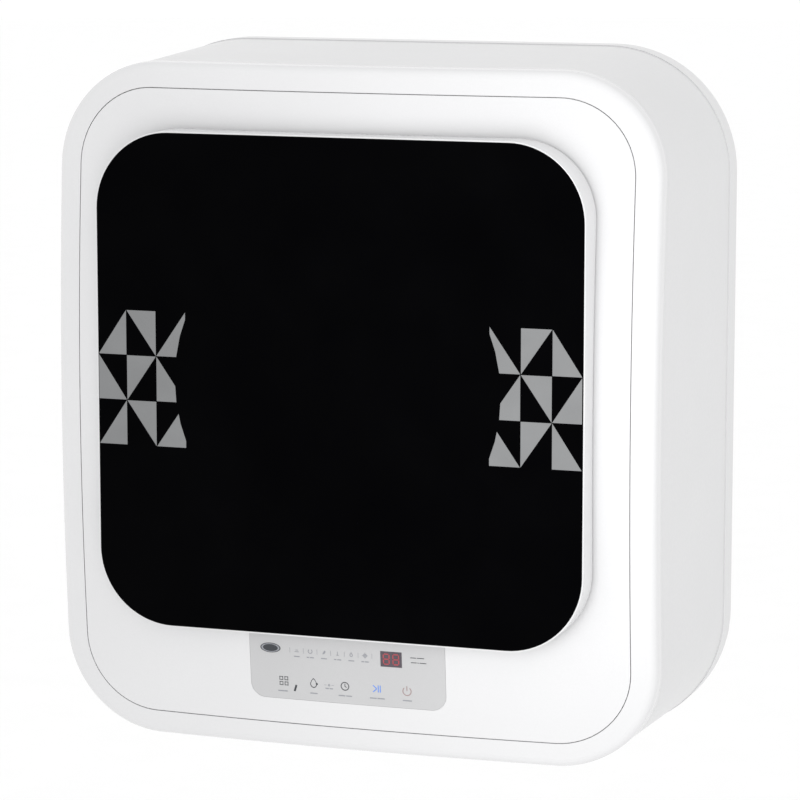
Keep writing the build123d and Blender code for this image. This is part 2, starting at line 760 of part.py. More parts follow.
def build_air_path():
    """The blower, the duct under the drum with its pull-down lint filter, and the heater."""
    front = scroll_front_y
    rear = scroll_rear_y
    outlet_room = outlet_half - scroll_wall
    scroll = disc(motor_x, motor_z, scroll_radius, front, rear)
    scroll += block(exhaust_x - outlet_half, motor_x, front, rear, exhaust_z - outlet_half, exhaust_z + outlet_half)
    room = disc(motor_x, motor_z, scroll_radius - scroll_wall, front + scroll_wall, rear - scroll_wall)
    room += block(
        exhaust_x - outlet_room, motor_x, front + scroll_wall, rear - scroll_wall,
        exhaust_z - outlet_room, exhaust_z + outlet_room,
    )
    scroll -= room
    scroll -= disc(motor_x, motor_z, blower_inlet_radius, front - 1, front + scroll_wall + 1)
    scroll -= disc(exhaust_x, exhaust_z, exhaust_bore_radius, rear - 5, rear + 1)

    wheel_front = front + scroll_wall + wheel_gap
    wheel_rear = wheel_front + blower_width
    wheel = disc(motor_x, motor_z, blower_radius, wheel_rear - wheel_wall, wheel_rear)
    wheel += disc(motor_x, motor_z, motor_shaft_radius + wheel_hub_wall, wheel_front + wheel_hub_setback, wheel_rear)
    wheel += tube(
        motor_x, motor_z, blower_radius, blower_radius - blade_length, wheel_front, wheel_front + wheel_wall
    )
    blades = pattern(
        PolarLocations(blower_radius - blade_inset, blower_blade_count),
        Rot(0, 0, blade_lean) * Rectangle(blade_length, blade_wall),
    )
    wheel += plate(Pos(motor_x, motor_z) * blades, wheel_front + 1, wheel_rear - 1)
    wheel -= disc(motor_x, motor_z, motor_shaft_radius, wheel_front - 1, wheel_rear + 1)

    duct_front = bulkhead_y + bulkhead_sheet
    duct = block(duct_left, duct_right, duct_front, rear_bulkhead_y, duct_bottom, duct_top)
    duct -= duct_opening(duct_front - 1, rear_bulkhead_y + 1)
    pocket = filter_thickness / 2 + free_gap
    duct -= block(
        duct_left + pocket_side, duct_right - pocket_side, filter_y - pocket, filter_y + pocket,
        duct_bottom - 1, duct_top - duct_wall - pocket_top,
    )

    frame_outline = block(
        duct_left + filter_side,
        duct_right - filter_side,
        filter_y - filter_thickness / 2,
        filter_y + filter_thickness / 2,
        duct_bottom - filter_cap_drop,
        duct_top - duct_wall - 2 * pocket_top,
    )
    hollow = block(
        duct_left + mesh_side, duct_right - mesh_side, filter_y - filter_thickness, filter_y + filter_thickness,
        duct_bottom + mesh_bottom, duct_top - duct_wall - mesh_top
    )
    mesh = block(
        duct_left + mesh_side, duct_right - mesh_side, filter_y - mesh_wall / 2, filter_y + mesh_wall / 2,
        duct_bottom + mesh_bottom, duct_top - duct_wall - mesh_top
    )

    sheet_rear = rear_bulkhead_y + bulkhead_sheet
    heater = tube(0, drum_height, heater_radius, heater_inner_radius, sheet_rear, heater_rear_y)
    heater -= tube(
        0, drum_height, heater_radius - heater_sheet, heater_inner_radius + heater_sheet,
        sheet_rear - 1, heater_rear_y - heater_sheet,
    )
    slots = pattern(
        GridLocations(heater_slot_pitch, heater_slot_pitch / 2, heater_slot_columns, vent_rows),
        SlotOverall(heater_slot_length, vent_width),
    )
    heater -= plate(Pos(0, drum_height + heater_slot_rise) * slots, heater_rear_y - 4, 1)
    middle = (sheet_rear + heater_rear_y) / 2
    coils = []
    for radius in element_ring_radii:
        coils.append(Plane(origin=(0, middle, drum_height), z_dir=(0, -1, 0)) * Torus(radius, element_radius))
    posts = []
    for spot in PolarLocations(post_ring_radius, post_count, 180 / post_count):
        place = spot.position
        posts.append(disc(place.X, drum_height + place.Y, post_radius, sheet_rear, heater_rear_y - heater_sheet))
    stats = []
    for x in (-thermostat_x, thermostat_x):
        stats.append(disc(
            x, drum_height - heater_slot_rise, thermostat_radius, heater_rear_y, heater_rear_y + thermostat_height
        ))
    return {
        "blower_housing": scroll,
        "blower_wheel": wheel,
        "air_duct": duct,
        "lint_filter_frame": frame_outline - hollow,
        "lint_filter_mesh": mesh,
        "heater_housing": heater,
        "heater_element": Compound(children=coils),
        "heater_insulators": Compound(children=posts),
        "thermostats": Compound(children=stats),
    }


def door_outline(grow):
    """The door glass's outline, grown by a rim or a clearance."""
    return Pos(0, drum_height) * RectangleRounded(
        door_width + 2 * grow, door_height + 2 * grow, door_corner_radius + grow
    )


def hinge_sweep(z, half_height, radius):
    """The room that a hinge lug needs inside the door as the door turns."""
    return upright(hinge_x, hinge_y, radius, z - half_height, z + half_height)


def build_door():
    """The glass, the frame that follows the crowned front, the bowl and its clamp ring."""
    glass = plate(door_outline(0), glass_front_y, glass_rear_y)
    glass = chamfer(glass.faces().sort_by(Axis.Y)[0].outer_wire().edges(), glass_chamfer)
    rim_front = glass_front_y + glass_proud
    frame = plate(door_outline(glass_rim), rim_front, bulkhead_y) - crown(-door_gap)
    frame -= plate(door_outline(fit_gap / 2), rim_front - 1, glass_rear_y + fit_gap / 2)
    frame -= plate(door_outline(glass_rim - door_wall), web_rear_y, bulkhead_y)
    frame -= disc(0, drum_height, door_view_radius, rim_front, bulkhead_y)
    rib_outline = Pos(0, drum_height) * (Circle(clamp_outer_radius + rib_rise) - Circle(clamp_outer_radius + 1))
    frame += plate(rib_outline, web_rear_y - 1, clamp_rear_y)
    behind_glass = plate(door_outline(glass_rim + 5), glass_rear_y + fit_gap / 2, bulkhead_y)
    for z in hinge_heights():
        room = hinge_sweep(z, hinge_lug_height / 2 + 1.5, hinge_sweep_radius)
        room += hinge_sweep(z, hinge_lug_height / 2 + 2 + hinge_leaf_height + 1, hinge_lug_radius + fit_gap)
        frame -= room & behind_glass

    shell = Pos(0, drum_height) * (Circle(bowl_radius))
    end = Pos(0, drum_height) * (Circle(bowl_end_radius))
    outer = loft([facing(flange_rear_y) * shell, facing(bowl_rear_y) * end], ruled=True)
    outer = fillet(outer.faces().sort_by(Axis.Y)[-1].edges(), bowl_edge_radius)
    shell_in = Pos(0, drum_height) * (Circle(bowl_radius - bowl_wall))
    end_in = Pos(0, drum_height) * (Circle(bowl_end_radius - bowl_wall))
    inner = loft([facing(flange_rear_y) * shell_in, facing(bowl_rear_y - bowl_wall) * end_in], ruled=True)
    inner = fillet(inner.faces().sort_by(Axis.Y)[-1].edges(), bowl_edge_radius - bowl_wall + 1)
    bowl = outer - inner + tube(0, drum_height, bowl_flange_radius, bowl_radius - bowl_wall, web_rear_y, flange_rear_y)
    clamp = tube(0, drum_height, clamp_outer_radius, bowl_radius + 1, flange_rear_y, clamp_rear_y)
    clamp += tube(0, drum_height, clamp_outer_radius, bowl_flange_radius + free_gap, web_rear_y, flange_rear_y)
    clamp = fillet(clamp.faces().sort_by(Axis.Y)[-1].edges(), clamp_edge_radius)
    return {"door_glass": glass, "door_frame": frame, "door_bowl": bowl, "door_clamp_ring": clamp}


def build_hinges():
    """The fixed lugs, the door's leaves and the hinge pins."""
    lugs = []
    leaves = []
    pins = []
    for z in hinge_heights():
        half = hinge_lug_height / 2
        lug = upright(hinge_x, hinge_y, hinge_lug_radius, z - half, z + half)
        lug += block(
            hinge_x - hinge_lug_width / 2, hinge_x + hinge_lug_width / 2, hinge_y, bulkhead_y, z - half, z + half
        )
        lug -= upright(hinge_x, hinge_y, hinge_pin_radius + run_gap, z - half - 1, z + half + 1)
        lugs.append(lug)
        for side in (-1, 1):
            near = z + side * (half + 2)
            far = near + side * hinge_leaf_height
            low, high = min(near, far), max(near, far)
            ear = upright(hinge_x, hinge_y, hinge_lug_radius - 0.5, low, high)
            ear += block(hinge_x, hinge_x + 22, web_rear_y, web_rear_y + 5, low, high)
            ear -= upright(hinge_x, hinge_y, hinge_pin_radius, low - 1, high + 1)
            leaves.append(ear)
        pins.append(upright(hinge_x, hinge_y, hinge_pin_radius, z - half - 7, z + half + 7))
    return {
        "hinge_lugs": Compound(children=lugs),
        "hinge_leaves": Compound(children=leaves + pins),
    }


def build_latch():
    """The door's striker, the magnet that holds it shut, and the door switch it presses."""
    z = drum_height
    tip_y = crown_depth(latch_x, z) + front_wall + striker_reach
    striker = block(latch_x - 10, latch_x + 10, web_rear_y, web_rear_y + 2, z - 14, z + 14)
    striker += block(latch_x - 3, latch_x + 3, web_rear_y, tip_y, z - 3, z + 3)
    striker += block(latch_x - 8, latch_x + 8, tip_y - 3, tip_y, z - 5, z + 5)
    magnet = block(latch_x, latch_x + 8, tip_y + fit_gap, tip_y + 6, z - 5, z + 5)
    cup = block(latch_x - 14, latch_x + 14, tip_y + 2, bulkhead_y, z - 9, z + 9)
    cup -= block(latch_x - fit_gap / 4, latch_x + 8 + fit_gap / 4, tip_y + 1, tip_y + 6, z - 5.1, z + 5.1)
    cup -= block(latch_x - 10, latch_x - 1, tip_y + 1, bulkhead_y + 1, z - 6, z + 6)
    body = block(latch_x - 10, latch_x - 1, tip_y + 3, bulkhead_y, z - 6, z + 6)
    body -= block(latch_x - 8, latch_x - 3, tip_y + 2, bulkhead_y - 1, z - 2.5, z + 2.5)
    plunger = block(
        latch_x - 8 + fit_gap / 4, latch_x - 3 - fit_gap / 4, tip_y + fit_gap, bulkhead_y - 1 - plunger_travel,
        z - 2.4, z + 2.4,
    )
    return {
        "door_striker": striker,
        "latch_magnet": magnet,
        "latch_cup": cup,
        "door_switch": body,
        "switch_plunger": plunger,
    }


def build_electronics():
    """The main board in its case and the motor's capacitor, in the lower left corner."""
    front = front_y + case_setback
    rear = front + case_length
    bottom = case_bottom
    top = bottom + case_height
    case = block(case_x, case_x + case_depth, front, rear, bottom, top)
    case -= block(
        case_x + case_wall, case_x + case_depth + 1, front + case_wall, rear - case_wall,
        bottom + case_wall, top - case_wall,
    )
    board = block(
        case_x + board_rise, case_x + board_rise + board_wall, front + board_gap, rear - board_gap,
        bottom + board_gap, top - board_gap
    )
    parts = []
    face = case_x + board_rise + board_wall
    for step, rise in enumerate(component_rises):
        place = front + component_margin + component_pitch * step
        parts.append(block(
            face, face + rise, place, place + component_length, bottom + component_bottom, bottom + component_top
        ))
    capacitor_rear_y = capacitor_front_y + capacitor_length
    capacitor = disc(capacitor_x, capacitor_z, capacitor_radius, capacitor_front_y, capacitor_rear_y)
    return {
        "board_case": case,
        "main_board": Compound(children=[board] + parts),
        "motor_capacitor": capacitor,
    }


save_all(build_front())
save_all(build_controls())
save_all(build_casing())
save_all(build_wall_fixing())
save_all(build_bulkheads())
save_all(build_drum())
save_all(build_bearings())
save_all(build_drive())
save_all(build_air_path())
save_all(build_door())
save_all(build_hinges())
save_all(build_latch())
save_all(build_electronics())
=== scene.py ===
"""A compact wall-hung clothes dryer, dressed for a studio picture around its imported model."""

import json
import logging
import math
from dataclasses import dataclass, field
from enum import Enum

import bpy
from mathutils import Matrix, Vector


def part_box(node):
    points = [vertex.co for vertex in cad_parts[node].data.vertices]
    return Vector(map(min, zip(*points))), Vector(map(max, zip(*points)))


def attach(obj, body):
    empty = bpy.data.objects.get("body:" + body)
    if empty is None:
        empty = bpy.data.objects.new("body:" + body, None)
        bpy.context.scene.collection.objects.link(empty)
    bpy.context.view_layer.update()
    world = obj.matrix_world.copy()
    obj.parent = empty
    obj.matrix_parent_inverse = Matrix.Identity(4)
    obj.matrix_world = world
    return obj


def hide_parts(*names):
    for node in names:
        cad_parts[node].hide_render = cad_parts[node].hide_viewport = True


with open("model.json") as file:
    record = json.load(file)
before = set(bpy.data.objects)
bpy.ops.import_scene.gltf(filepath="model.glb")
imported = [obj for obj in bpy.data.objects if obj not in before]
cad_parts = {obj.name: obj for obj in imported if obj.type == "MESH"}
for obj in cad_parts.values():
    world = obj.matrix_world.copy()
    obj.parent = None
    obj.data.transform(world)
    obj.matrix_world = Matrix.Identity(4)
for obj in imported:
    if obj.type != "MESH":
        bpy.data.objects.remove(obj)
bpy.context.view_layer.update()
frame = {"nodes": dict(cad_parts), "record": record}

LOG = logging.getLogger("wall_dryer")
MM = 0.001


def hex_to_linear(code: str, alpha: float = 1.0) -> tuple[float, float, float, float]:
    """Turns an sRGB hex colour into linear values.

    Args:
        code: Six hex digits, such as "f2f3f5".
        alpha: The fourth value of the result.

    Returns:
        Red, green, blue and alpha, with the colours linear.
    """
    shares = [int(code[place:place + 2], 16) / 255 for place in (0, 2, 4)]
    linear = [share / 12.92 if share <= 0.04045 else ((share + 0.055) / 1.055) ** 2.4 for share in shares]
    return (*linear, alpha)


def add_node(tree: bpy.types.NodeTree, kind: str, values: dict, links: dict) -> bpy.types.Node:
    """Adds one node with its settings and its incoming links.

    Args:
        tree: The node tree that gets the node.
        kind: The node's type name.
        values: Input names or node settings, each with its value.
        links: Input names, each with the output socket that feeds it.

    Returns:
        The new node.
    """
    node = tree.nodes.new(kind)
    for name, value in values.items():
        if isinstance(name, int) or name in node.inputs:
            node.inputs[name].default_value = value
        else:
            setattr(node, name, value)
    for name, socket in links.items():
        tree.links.new(socket, node.inputs[name])
    return node


class Grain(Enum):
    """How a surface was made, which decides the pattern that the eye finds on it."""

    MOULDED = "spark texture of a steel mould"
    ENAMEL = "orange peel of baked enamel"
    POLISHED = "faint smears on a smooth face"
    BRUSHED = "fine lines along one direction"
    SPANGLE = "zinc crystals"
    FELTED = "matted fibres"
    WOVEN = "crossing threads"
    CAST = "grainy die-cast skin"


@dataclass(frozen=True)
class Finish:
    """One finish: its colours, its gloss and the pattern of its grain, with sizes in millimetres."""

    name: str
    colour: str
    shade: str
    grain: Grain
    grain_mm: float
    bump_mm: float
    roughness: float
    spread: float = 0.06
    metallic: float = 0.0
    ior: float = 1.5
    specular: float = 0.5
    coat: float = 0.0
    coat_roughness: float = 0.05
    sheen: float = 0.0
    transmission: float = 0.0
    glow: float = 0.0

    def build(self) -> bpy.types.Material:
        """Makes the material.

        Returns:
            A new material whose colour, roughness and bump all follow the grain.
        """
        material = bpy.data.materials.new(self.name)
        material.use_nodes = True
        tree = material.node_tree
        tree.nodes.clear()
        place = add_node(tree, "ShaderNodeTexCoord", {}, {}).outputs["Object"]
        fine, height = self.fine_pattern(tree, place)
        cloud = add_node(tree, "ShaderNodeTexNoise", {"Scale": 9.0, "Detail": 4.0}, {"Vector": place}).outputs["Fac"]
        both = add_node(tree, "ShaderNodeMath", {"operation": "MULTIPLY"}, {0: cloud, 1: fine}).outputs[0]
        share = add_node(
            tree, "ShaderNodeMapRange", {"From Min": 0.1, "From Max": 0.45}, {"Value": both}
        ).outputs["Result"]
        colour = add_node(
            tree, "ShaderNodeMix",
            {"data_type": "RGBA", 6: hex_to_linear(self.shade), 7: hex_to_linear(self.colour)}, {0: share},
        ).outputs[2]
        rough = add_node(
            tree, "ShaderNodeMapRange",
            {"To Min": self.roughness + self.spread, "To Max": max(self.roughness - self.spread, 0.02)},
            {"Value": share},
        ).outputs["Result"]
        bump = add_node(
            tree, "ShaderNodeBump", {"Strength": 0.6, "Distance": self.bump_mm * MM}, {"Height": height}
        ).outputs["Normal"]
        shader = add_node(
            tree, "ShaderNodeBsdfPrincipled",
            {
                "Metallic": self.metallic, "IOR": self.ior, "Specular IOR Level": self.specular,
                "Coat Weight": self.coat, "Coat Roughness": self.coat_roughness, "Sheen Weight": self.sheen,
                "Transmission Weight": self.transmission, "Emission Strength": self.glow,
            },
            {"Base Color": colour, "Roughness": rough, "Normal": bump},
        )
        if self.glow > 0:
            tree.links.new(colour, shader.inputs["Emission Color"])
        add_node(tree, "ShaderNodeOutputMaterial", {}, {"Surface": shader.outputs["BSDF"]})
        return material

    def fine_pattern(
        self, tree: bpy.types.NodeTree, place: bpy.types.NodeSocket
    ) -> tuple[bpy.types.NodeSocket, bpy.types.NodeSocket]:
        """Adds the nodes that draw the grain.

        Args:
            tree: The material's node tree.
            place: The surface's place in object space.

        Returns:
            The pattern for colour and gloss, and the height for the bump.
        """
        scale = 1 / (self.grain_mm * MM)
        if self.grain is Grain.BRUSHED:
            stretched = add_node(
                tree, "ShaderNodeMapping", {"Scale": (0.04, 1.0, 1.0)}, {"Vector": place}
            ).outputs["Vector"]
            lines = add_node(
                tree, "ShaderNodeTexNoise", {"Scale": scale, "Detail": 5.0}, {"Vector": stretched}
            ).outputs["Fac"]
            return lines, lines
        if self.grain is Grain.SPANGLE:
            cells = add_node(tree, "ShaderNodeTexVoronoi", {"Scale": scale}, {"Vector": place})
            grey = add_node(
                tree, "ShaderNodeSeparateColor", {}, {"Color": cells.outputs["Color"]}
            ).outputs[0]
            return grey, cells.outputs["Distance"]
        if self.grain is Grain.WOVEN:
            waves = []
            for direction in ("X", "Z"):
                wave = add_node(
                    tree, "ShaderNodeTexWave",
                    {"bands_direction": direction, "Scale": scale / 3.2, "Distortion": 0.4}, {"Vector": place},
                )
                waves.append(wave.outputs["Fac"])
            woven = add_node(
                tree, "ShaderNodeMath", {"operation": "MAXIMUM"}, {0: waves[0], 1: waves[1]}
            ).outputs[0]
            return woven, woven
        detail = {Grain.FELTED: 12.0, Grain.CAST: 8.0, Grain.MOULDED: 6.0}.get(self.grain, 2.0)
        noise = add_node(
            tree, "ShaderNodeTexNoise", {"Scale": scale, "Detail": detail}, {"Vector": place}
        ).outputs["Fac"]
        return noise, noise


# The finish of each of the record's material slots.
FINISHES = {
    # Glossy white ABS, moulded: the eye finds soft highlights and the least unevenness.
    "white_moulding": Finish("white_moulded_abs", "dfdfe0", "dcdcdd", Grain.MOULDED, 1.6, 0.002, 0.24, 0.03,
                             coat=0.25, coat_roughness=0.08),
    # White baked enamel on sheet steel: a slight orange peel breaks up the reflections.
    "white_enamel": Finish("white_baked_enamel", "d9d9da", "d6d6d7", Grain.ENAMEL, 3.0, 0.002, 0.34, 0.03, coat=0.15),
    # Hot-dip galvanised steel: zinc crystals, each with its own grey.
    "galvanised_steel": Finish("galvanised_steel", "b4b9bd", "a5aaae", Grain.SPANGLE, 7.0, 0.01, 0.42, 0.1,
                               metallic=0.9),
    # Stainless drum sheet: bright, with fine rolling lines.
    "drum_steel": Finish("stainless_drum_sheet", "d4d5d7", "b8babd", Grain.BRUSHED, 0.8, 0.006, 0.26, 0.08,
                         metallic=1.0),
    "shaft_steel": Finish("turned_bright_steel", "b4b6b9", "9a9da0", Grain.BRUSHED, 0.5, 0.006, 0.32, 0.08,
                          metallic=1.0),
    "cast_housing": Finish("die_cast_aluminium", "a9abad", "8d8f92", Grain.CAST, 1.2, 0.05, 0.5, 0.1, metallic=0.9),
    "motor_enamel": Finish("black_motor_enamel", "2a2c2e", "1d1e20", Grain.ENAMEL, 1.8, 0.03, 0.38, 0.08),
    "black_plastic": Finish("black_nylon", "1f2022", "141516", Grain.MOULDED, 0.9, 0.02, 0.5, 0.08),
    "grey_plastic": Finish("satin_grey_abs", "b9bbbe", "aeb0b4", Grain.MOULDED, 0.9, 0.015, 0.42, 0.06),
    "duct_plastic": Finish("natural_polypropylene", "d3d5d2", "c6c8c4", Grain.MOULDED, 1.1, 0.02, 0.45, 0.07),
    # Float glass printed black on its back: near black, with only a faint mirror image.
    "black_glass": Finish("back_printed_black_glass", "030304", "010102", Grain.POLISHED, 60.0, 0.002, 0.06, 0.03,
                          ior=1.52, specular=0.015),
    "clear_bowl": Finish("clear_moulded_bowl", "eef3f4", "e2e9ea", Grain.POLISHED, 40.0, 0.004, 0.06, 0.03,
                         ior=1.52, transmission=0.92),
    "smoked_window": Finish("smoked_window", "585058", "4c464e", Grain.POLISHED, 8.0, 0.002, 0.14, 0.04),
    # A printed satin film over the touch keys.
    "silver_film": Finish("satin_printed_film", "c4c4c5", "bfbfc0", Grain.MOULDED, 0.6, 0.004, 0.36, 0.05),
    "seal_rubber": Finish("grey_seal_rubber", "7e8083", "6b6d70", Grain.MOULDED, 1.4, 0.03, 0.6, 0.08),
    "belt_rubber": Finish("ribbed_belt_rubber", "242425", "161617", Grain.MOULDED, 0.7, 0.04, 0.62, 0.06),
    "felt": Finish("pressed_wool_felt", "c9c2b0", "a49c88", Grain.FELTED, 1.3, 0.5, 0.92, 0.05, sheen=0.5),
    # The mesh's threads stand 0.9 mm apart here, coarser than the real 0.3 mm, so that they show.
    "filter_mesh": Finish("woven_nylon_mesh", "cdd2d6", "7d848a", Grain.WOVEN, 0.9, 0.15, 0.6, 0.08, sheen=0.2),
    "heater_alloy": Finish("heat_stained_alloy", "6f665e", "4b423c", Grain.BRUSHED, 0.8, 0.01, 0.4, 0.1,
                           metallic=1.0),
    "white_ceramic": Finish("fired_ceramic", "e4dfd4", "d5cfc2", Grain.CAST, 1.5, 0.03, 0.45, 0.08),
    "circuit_board": Finish("green_solder_mask", "1d6b3a", "155430", Grain.WOVEN, 1.6, 0.01, 0.35, 0.06),
    "capacitor_case": Finish("drawn_aluminium_can", "b5b7b9", "a0a2a5", Grain.BRUSHED, 0.7, 0.006, 0.33, 0.06,
                             metallic=1.0),
    "magnet_steel": Finish("sintered_ferrite", "2c2c2e", "202022", Grain.CAST, 0.8, 0.03, 0.55, 0.08),
}

# Printed and lit details that are new pieces.
PRINTS = {
    "tile_silver": Finish("silver_tile_print", "848586", "7c7d7e", Grain.POLISHED, 30.0, 0.001, 0.4, 0.05,
                          specular=0.25),
    "dark_ink": Finish("dark_grey_ink", "3c3f44", "34373c", Grain.MOULDED, 0.5, 0.001, 0.4, 0.05),
    "pale_ink": Finish("pale_grey_ink", "9a9ca2", "8f9197", Grain.MOULDED, 0.5, 0.001, 0.4, 0.05),
    "blue_ink": Finish("blue_ink", "4f8ff0", "447fe0", Grain.MOULDED, 0.5, 0.001, 0.4, 0.05),
    "rose_ink": Finish("rose_grey_ink", "a58a88", "98807e", Grain.MOULDED, 0.5, 0.001, 0.4, 0.05),
    "digit_red": Finish("lit_red_digits", "b04850", "9c3e46", Grain.POLISHED, 6.0, 0.001, 0.4, 0.05, glow=0.12),
    # Pale studio paper.
    "studio_paper": Finish("studio_paper", "ffffff", "fdfdfd", Grain.FELTED, 3.0, 0.02, 0.9, 0.04, specular=0.1),
}
MATERIALS = {}


def material_of(key: str) -> bpy.types.Material:
    """Gives a finish's material, made the first time it is asked for.

    Args:
        key: A slot name or a print's name.

    Returns:
        The material.
    """
    if key not in MATERIALS:
        MATERIALS[key] = (FINISHES.get(key) or PRINTS[key]).build()
    return MATERIALS[key]


def deselect_all() -> None:
    """Leaves object mode with nothing selected."""
    if bpy.context.mode != "OBJECT":
        bpy.ops.object.mode_set(mode="OBJECT")
    bpy.ops.object.select_all(action="DESELECT")


def select_only(piece: bpy.types.Object) -> None:
    """Selects one piece and makes it active."""
    deselect_all()
    piece.select_set(True)
    bpy.context.view_layer.objects.active = piece


def apply_place(piece: bpy.types.Object) -> None:
    """Moves the piece's place, turn and size into its mesh."""
    select_only(piece)
    bpy.ops.object.transform_apply(location=True, rotation=True, scale=True)


def join_pieces(parts: list[bpy.types.Object], name: str) -> bpy.types.Object:
    """Joins parts into one piece.

    Args:
        parts: The parts, at least one.
        name: The joined piece's name.

    Returns:
        The joined piece, with its place in its mesh.
    """
    deselect_all()
    for part in parts:
        part.select_set(True)
    bpy.context.view_layer.objects.active = parts[0]
    if len(parts) > 1:
        bpy.ops.object.join()
    piece = bpy.context.view_layer.objects.active
    piece.name = name
    piece.data.name = name
    apply_place(piece)
    return piece


def apply_modifier(piece: bpy.types.Object, kind: str, settings: dict) -> None:
    """Adds a modifier and applies it.

    Args:
        piece: The piece it shapes.
        kind: The modifier's type.
        settings: The modifier's settings.
    """
    select_only(piece)
    modifier = piece.modifiers.new(kind.lower(), kind)
    for name, value in settings.items():
        setattr(modifier, name, value)
    bpy.ops.object.modifier_apply(modifier=modifier.name)


def dress(piece: bpy.types.Object, body: str, slot: str, finish: str, *replaced: str) -> None:
    """Gives a new piece its material and body, and hides the nodes it stands for.

    Args:
        piece: The new piece.
        body: The body it rides on.
        slot: The record's material slot it belongs to; not used.
        finish: The key of its finish.
        replaced: CAD nodes that it hides.
    """
    piece.data.materials.clear()
    piece.data.materials.append(material_of(finish))
    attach(piece, body)
    if replaced:
        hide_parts(*replaced)
    LOG.info("%s: %d faces on %s", piece.name, len(piece.data.polygons), body)


def rounded_plate(name: str, size: tuple[float, float], radius: float, depth: float, corner_steps: int,
                  edge: float) -> bpy.types.Object:
    """Models a flat plate that faces the front, with round corners and a softened front edge.

    Args:
        name: The piece's name.
        size: Width and height.
        radius: Corner radius.
        depth: Thickness; the plate runs from y = 0 to y = depth.
        corner_steps: Segments in each corner.
        edge: Width of the softened edge, or 0.

    Returns:
        The plate, centred on the Y axis.
    """
    deselect_all()
    bpy.ops.mesh.primitive_plane_add(size=1, rotation=(math.pi / 2, 0, 0))
    piece = bpy.context.active_object
    piece.name = name
    piece.scale = (size[0], size[1], 1)
    apply_place(piece)
    bpy.ops.object.mode_set(mode="EDIT")
    bpy.ops.mesh.select_all(action="SELECT")
    bpy.ops.mesh.bevel(affect="VERTICES", offset=radius, offset_type="OFFSET", segments=corner_steps, profile=0.5)
    bpy.ops.mesh.select_all(action="SELECT")
    bpy.ops.mesh.extrude_region_move(TRANSFORM_OT_translate={"value": (0, depth, 0)})
    bpy.ops.mesh.select_all(action="SELECT")
    bpy.ops.mesh.normals_make_consistent(inside=False)
    bpy.ops.object.mode_set(mode="OBJECT")
    if edge > 0:
        apply_modifier(piece, "BEVEL", {"width": edge, "segments": 3, "limit_method": "ANGLE", "angle_limit": 0.9})
    return piece


@dataclass
class Crown:
    """The gently crowned front surface: part of a ball centred behind the dryer."""

    radius: float = 2.344
    front: float = -0.240

    def depth(self, x: float, z: float) -> float:
        """The surface's y at a point of the front view.

        Args:
            x: Distance right of the middle.
            z: Height above the middle.

        Returns:
            The depth in metres.
        """
        return self.front + self.radius - math.sqrt(self.radius ** 2 - x ** 2 - z ** 2)

    def lay(self, piece: bpy.types.Object, x: float, z: float, proud: float) -> None:
        """Lays a flat drawn piece on the surface.

        Args:
            piece: A piece drawn about the origin, its back at y = 0.
            x: Where its middle goes.
            z: Where its middle goes.
            proud: How far its back stands before the surface.
        """
        for vertex in piece.data.vertices:
            spot = (vertex.co.x + x, vertex.co.z + z)
            vertex.co = (spot[0], self.depth(*spot) - proud + vertex.co.y, spot[1])


